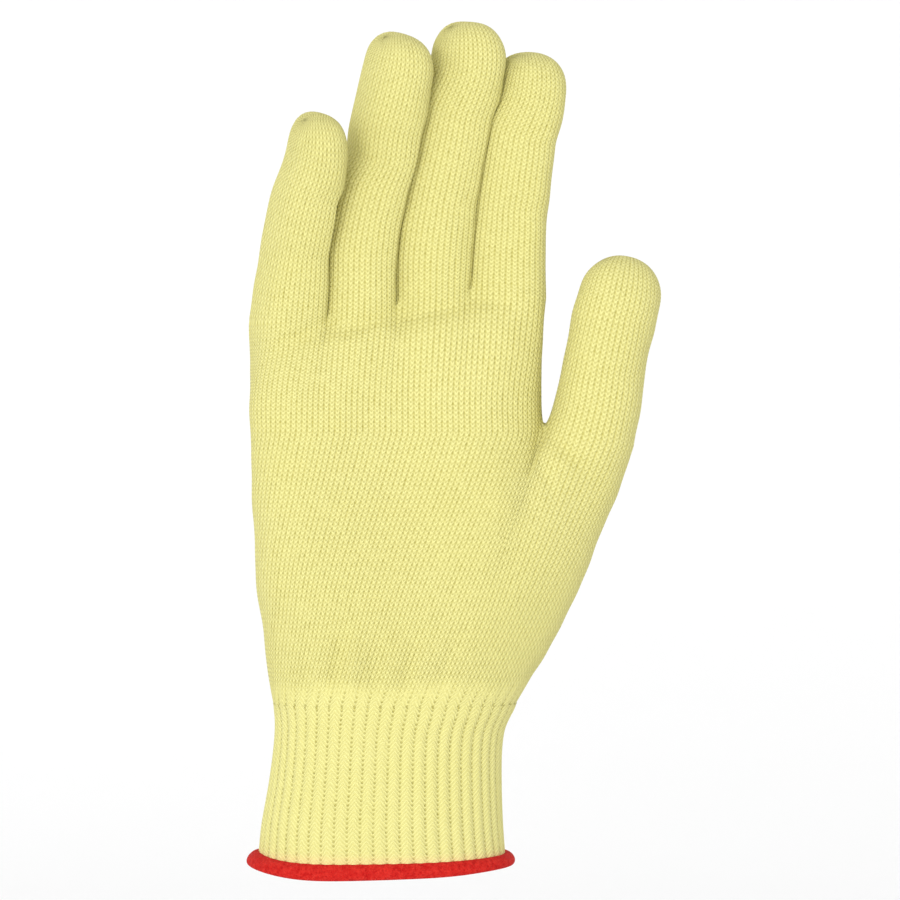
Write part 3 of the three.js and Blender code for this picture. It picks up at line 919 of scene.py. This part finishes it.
def hem_mesh():
    places = np.arange(hem_columns) / hem_columns
    start = cuff_ring(places, 0, -wall / 2, 1)
    away = outward(start)
    sideways = smooth((np.abs(away[:, 0]) - flare_start) / flare_reach)
    flare = hem_flare * (front_flare + (1 - front_flare) * sideways)
    up = np.array([0, 0, 1.0])
    down = away * np.sin(flare)[:, None] - up * np.cos(flare)[:, None]
    out = away * np.cos(flare)[:, None] + up * np.sin(flare)[:, None]
    rings = []
    for k in range(hem_around):
        angle = 2 * np.pi * k / hem_around
        drop = hem_height * (1 - side_share * away[:, :1]) * (0.5 + 0.5 * math.sin(angle))
        rings.append(start + down * drop + out * (hem_thickness * 0.5 * math.cos(angle)))
    points, faces, stitches = tube(rings, inside=True)
    # The last ring joins the first, which closes the band.
    top, end = hem_around - 1, (hem_around - 1) * hem_columns
    for i in range(hem_columns):
        k = (i + 1) % hem_columns
        faces.append((end + i, i, k, end + k))
        stitches.append(((i, top), (i, top + 1), (i + 1, top + 1), (i + 1, top)))
    return mesh_object("hem_thread", points, faces, stitches)


hem = hem_mesh()

# %% [markdown]
# ## Finishes
# A shader is easier to read as sums than as a plate of wires. The class below wraps a socket, so
# that an expression on values adds its Math nodes. A wale is a chain of V-shaped stitches: a
# groove on each side, a small hole in the middle of each stitch, and two legs. The grooves and
# holes are bumps, and they are also painted darker as shade.
# A picture of cloth would need no sums, but it would repeat and blur. Sums stay sharp.

# %% Values that add their own nodes
class Value:
    """One output socket. Its operators add Math nodes to the same tree."""

    def __init__(self, finish, socket):
        self.finish, self.socket = finish, socket

    def math(self, operation, *others):
        values = dict(enumerate((self, *others)))
        return self.finish.node("ShaderNodeMath", {"operation": operation}, values)

    def __add__(self, other):
        return self.math("ADD", other)

    def __sub__(self, other):
        return self.math("SUBTRACT", other)

    def __mul__(self, other):
        return self.math("MULTIPLY", other)

    def __rsub__(self, other):
        return self.finish.node("ShaderNodeMath", {"operation": "SUBTRACT"}, {0: other, 1: self})

    def __abs__(self):
        return self.math("ABSOLUTE")

    __radd__, __rmul__ = __add__, __mul__

    def bell(self, width):
        """1 where the value is 0, falling away over the width."""
        steps = self * (1 / width)
        return (steps * steps * -1).math("EXPONENT")

    def near_whole(self):
        """How far the value is from the nearest whole number, from -0.5 to 0.5."""
        return (self + 0.5).math("FRACT") - 0.5

    def held(self):
        """The value, kept from 0 to 1."""
        return self.math("MAXIMUM", 0.0).math("MINIMUM", 1.0)


class Finish:
    """A material and its tree. node() adds any node, from its settings and socket values."""

    def __init__(self, name):
        self.material = bpy.data.materials.new(name)
        self.material.use_nodes = True
        self.tree = self.material.node_tree
        self.tree.nodes.clear()

    def node(self, kind, settings=None, values=None, output=0):
        made = self.tree.nodes.new(kind)
        for key, setting in (settings or {}).items():
            setattr(made, key, setting)
        for key, value in (values or {}).items():
            socket = made.inputs[key]
            if isinstance(value, Value):
                self.tree.links.new(value.socket, socket)
            elif hasattr(socket.default_value, "__len__") and len(socket.default_value) == 4:
                socket.default_value = (*value, 1)
            else:
                socket.default_value = value
        return Value(self, made.outputs[output]) if made.outputs else made

    def mix(self, factor, first, second):
        values = {0: factor, 6: first, 7: second}
        return self.node("ShaderNodeMix", {"data_type": "RGBA"}, values, output=2)

    def place(self):
        """Where a point lies on the object, in metres."""
        return self.node("ShaderNodeTexCoord", output=3)

    def axis(self, vector, number):
        return self.node("ShaderNodeSeparateXYZ", None, {0: vector}, output=number)

    def noise(self, place, scale, detail):
        values = {"Vector": place, "Scale": scale, "Detail": detail}
        return self.node("ShaderNodeTexNoise", None, values)

    def finish_with(self, colour, roughness, height, distance, sheen):
        values = {"Strength": 1.0, "Distance": distance, "Height": height}
        bump = self.node("ShaderNodeBump", None, values)
        shader = self.node("ShaderNodeBsdfPrincipled", None, {
            "Base Color": colour,
            "Roughness": roughness,
            "Specular IOR Level": 0.2,
            "Sheen Weight": sheen,
            "Sheen Roughness": 0.5,
            "Normal": bump,
        })
        self.node("ShaderNodeOutputMaterial", None, {"Surface": shader})
        print(self.material.name, "has", len(self.tree.nodes), "nodes")
        return self.material


print(len(bpy.data.materials), "materials before the first finish")

# %% Colours of the yarn
def linear(red, green, blue):
    """Colour as the eye names it, 0 to 255, in the linear values that light adds up in."""
    shares = np.array([red, green, blue]) / 255
    return tuple(np.where(shares <= 0.04045, shares / 12.92, ((shares + 0.055) / 1.055) ** 2.4))


# The yarn's own colour, and a darker yellow painted as shade in the grooves and holes between
# yarns.
yarn_light = linear(217, 212, 138)
yarn_warm = linear(222, 217, 148)
yarn_painted_shade = linear(170, 158, 66)
# The red of the hem, and what little of it rubs off on the ribs.
thread_dark, thread_light = linear(180, 4, 4), linear(214, 46, 36)
red_stain = linear(240, 196, 150)
print("yarn in the light is", np.round(yarn_light, 2))

# %% Patterns of the stitches
# Courses by which a leg of a stitch climbs for each wale or rib that it crosses.
rib_slope = 3.4
plain_slope = 0.9
# Noise waves to a metre: along the yarn, and in patches over the hand and the cuff.
yarn_scale, hand_scale, cuff_scale = 800.0, 45.0, 60.0


def stitch_space(f, coarse):
    """Stitch coordinates, a little wander, a coarse soft noise, and the place in metres."""
    marks = f.node("ShaderNodeUVMap", {"uv_map": "stitches"})
    u, v = f.axis(marks, 0), f.axis(marks, 1)
    place = f.place()
    return u, v, f.noise(place, yarn_scale, 2.0) - 0.5, f.noise(place, coarse, 3.0), place


def rib_pattern(ribs, v, wander):
    """Low places of the rib, 0 to 1. ribs counts the ribs, with a crest at each whole number.
    The bells' widths are in ribs and courses."""
    across = (ribs + 0.5 + wander * 0.08).near_whole()
    away = abs(across)
    slanted = v + wander * 0.5 - away * rib_slope
    hole = across.bell(0.07) * (v + wander * 0.4).near_whole().bell(0.26) * (0.75 + wander)
    crest = (away - 0.5).bell(0.06) * (v + 0.5).near_whole().bell(0.25) * 0.4
    nick = slanted.near_whole().bell(0.3) * (0.37 - crest)
    return hole + crest + nick * (1 - hole)


def plain_pattern(u, v, wander):
    """Low places of the plain knit: a groove on each side of a wale, a hole in each stitch.
    The bells' widths are in wales and courses."""
    across = (u + wander * 0.16).near_whole()
    away = abs(across)
    slanted = v + wander * 0.3 - away * plain_slope
    dash = (v + 0.5 + wander * 0.3).near_whole().bell(0.3)
    groove = (away - 0.5).bell(0.17) * (dash * 0.35 + 0.4 + wander * 0.6)
    hole = across.bell(0.17) * (v + 0.1 + wander * 0.3).near_whole().bell(0.24) * 0.3
    nick = slanted.near_whole().bell(0.2) * 0.3
    return groove + hole + nick * (1 - groove)


def yarn(f, low, drift, wander):
    """Colour of the yarn, with painted shade: darker where the surface is low."""
    light = f.mix(drift, yarn_light, yarn_warm)
    # Painted shade: the low places of the knit are mixed towards a darker yellow.
    return f.mix((low * (0.85 + wander * 0.6)).held(), light, yarn_painted_shade)


def knit_finish(f, colour, low, drift):
    return f.finish_with(colour, 0.8 + drift * 0.15, 1 - low, distance=0.4 * MM, sheen=0.05)


print("the chevrons of the ribs climb", rib_slope / 2, "courses from crest to valley")

# %% The aramid knit
run_out_start, run_out_reach, run_out_wander = 1 * MM, 6 * MM, 9 * MM


def aramid_knit():
    f = Finish("aramid_knit")
    u, v, wander, drift, place = stitch_space(f, hand_scale)
    height_up = f.axis(place, 2)
    plain = plain_pattern(u, v, wander)
    ribs = u * (rib_count * 2 / net.body_columns) - rib_count * net.body_phase
    ribbed = rib_pattern(ribs, v, wander)
    # The ribs run out over the foot of the hand, unevenly.
    above = height_up - hand_foot - run_out_start - (drift - 0.5) * run_out_wander
    share = (above * (1 / run_out_reach)).held()
    low = plain * share + ribbed * (1 - share)
    return knit_finish(f, yarn(f, low, drift, wander), low, drift)


hand.data.materials.append(aramid_knit())

# %% The ribbed knit
stain_start, stain_reach, stain_strength = 0.5 * MM, 2.2 * MM, 0.28


def rib_knit():
    f = Finish("rib_knit")
    u, v, wander, drift, place = stitch_space(f, cuff_scale)
    height_up = f.axis(place, 2)
    low = rib_pattern(u * 0.5, v, wander)
    # The last courses above the hem take a trace of the red.
    above = (height_up - cuff_foot - stain_start) * (1 / stain_reach)
    stain = above.math("MAXIMUM", 0.0).bell(0.6) * stain_strength
    colour = f.mix(stain, yarn(f, low, drift, wander), red_stain)
    return knit_finish(f, colour, low, drift)


cuff.data.materials.append(rib_knit())

# %% The red overlock thread
fuzz_scale, tuft_scale = 2400.0, 900.0
tone_gain = 3.5


def overlock_thread():
    f = Finish("red_overlock")
    place = f.place()
    fuzz, tuft = f.noise(place, fuzz_scale, 3.0), f.noise(place, tuft_scale, 3.0)
    tone = ((fuzz * 0.5 + tuft * 0.5 - 0.5) * tone_gain + 0.5).held()
    colour = f.mix(tone, thread_dark, thread_light)
    return f.finish_with(colour, 0.85 + fuzz * 0.1, fuzz + tuft, distance=0.6 * MM, sheen=0)


hem.data.materials.append(overlock_thread())

# %% [markdown]
# ## What each piece stands for
# Each cloth rides on the glove's one body and stands for the plain solid under it.

# %% Tie the pieces to the frame
digits = ["little_knit", "ring_knit", "middle_knit", "index_knit", "thumb_knit"]
for piece, nodes, slot in (
    (hand, ["hand_knit", *digits], "aramid_knit"),
    (cuff, ["wrist_knit"], "rib_knit"),
    (hem, ["hem_overlock"], "red_overlock"),
):
    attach(piece, "root")
    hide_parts(*nodes)
    print(piece.name, "stands for", ", ".join(nodes))

# %% [markdown]
# ## Stage, light and camera
# The photograph is a flat, bright catalogue view on white. A pale floor runs up into a pale
# wall, a large soft light stands in front, and the bright surroundings fill the shadows.

# %% Stage
floor_drop = 0.12
stage_half = 3.0
wall_back = 1.6
sweep = 0.6
sweep_steps = 12


def stage_mesh():
    profile = [(-stage_half, -floor_drop), (wall_back - sweep, -floor_drop)]
    for k in range(1, sweep_steps + 1):
        turn = math.pi / 2 * k / sweep_steps
        y = wall_back - sweep + sweep * math.sin(turn)
        profile.append((y, -floor_drop + sweep * (1 - math.cos(turn))))
    profile.append((wall_back, stage_half))
    points = [(x, y, z) for y, z in profile for x in (-stage_half, stage_half)]
    faces = [(2 * i, 2 * i + 1, 2 * i + 3, 2 * i + 2) for i in range(len(profile) - 1)]
    return mesh_object("pale_sweep", points, faces)


def pale_paper():
    f = Finish("pale_paper")
    colour = f.mix(f.noise(f.place(), 3.0, 2.0), (0.93, 0.93, 0.93), (0.95, 0.95, 0.95))
    values = {"Base Color": colour, "Roughness": 0.9}
    shader = f.node("ShaderNodeBsdfPrincipled", None, values)
    f.node("ShaderNodeOutputMaterial", None, {"Surface": shader})
    return f.material


sweep_stage = stage_mesh()
sweep_stage.data.materials.append(pale_paper())

# %% Light
world = bpy.data.worlds.new("soft_room")
world.use_nodes = True
surroundings = world.node_tree.nodes["Background"].inputs
surroundings["Color"].default_value = (1, 1, 1, 1)
surroundings["Strength"].default_value = 1.0
bpy.context.scene.world = world


def soft_light(name, place, target, size, power):
    lamp = bpy.data.lights.new(name, "AREA")
    lamp.shape, lamp.size, lamp.energy = "SQUARE", size, power
    made = bpy.data.objects.new(name, lamp)
    made.location = place
    made.rotation_euler = (Vector(target) - Vector(place)).to_track_quat("-Z", "Y").to_euler()
    bpy.context.collection.objects.link(made)
    print(name, "gives", power, "W from", place)


glove_middle = (0.018, 0, 0.11)
soft_light("key_light", (-0.35, -1.3, 0.15), glove_middle, size=0.8, power=10.7)
bpy.context.scene.view_settings.view_transform = "Standard"

# %% Camera
# The picture plane through the glove shows this many metres in each pixel.
metres_per_pixel = 0.2622 * MM
picture_width = 900
sensor_width = 36
camera_distance = 1.0
camera_height = 0.11084
camera_side = 0.01783

lens = bpy.data.cameras.new("camera")
lens.sensor_width = sensor_width
lens.lens = sensor_width * camera_distance / (picture_width * metres_per_pixel)
lens.clip_start = 0.01
camera = bpy.data.objects.new("camera", lens)
camera.location = (camera_side, -camera_distance, camera_height)
camera.rotation_euler = (math.pi / 2, 0, 0)
bpy.context.collection.objects.link(camera)
bpy.context.scene.camera = camera
print("lens", round(lens.lens, 1), "mm")

# %% End
print("the scene is set")
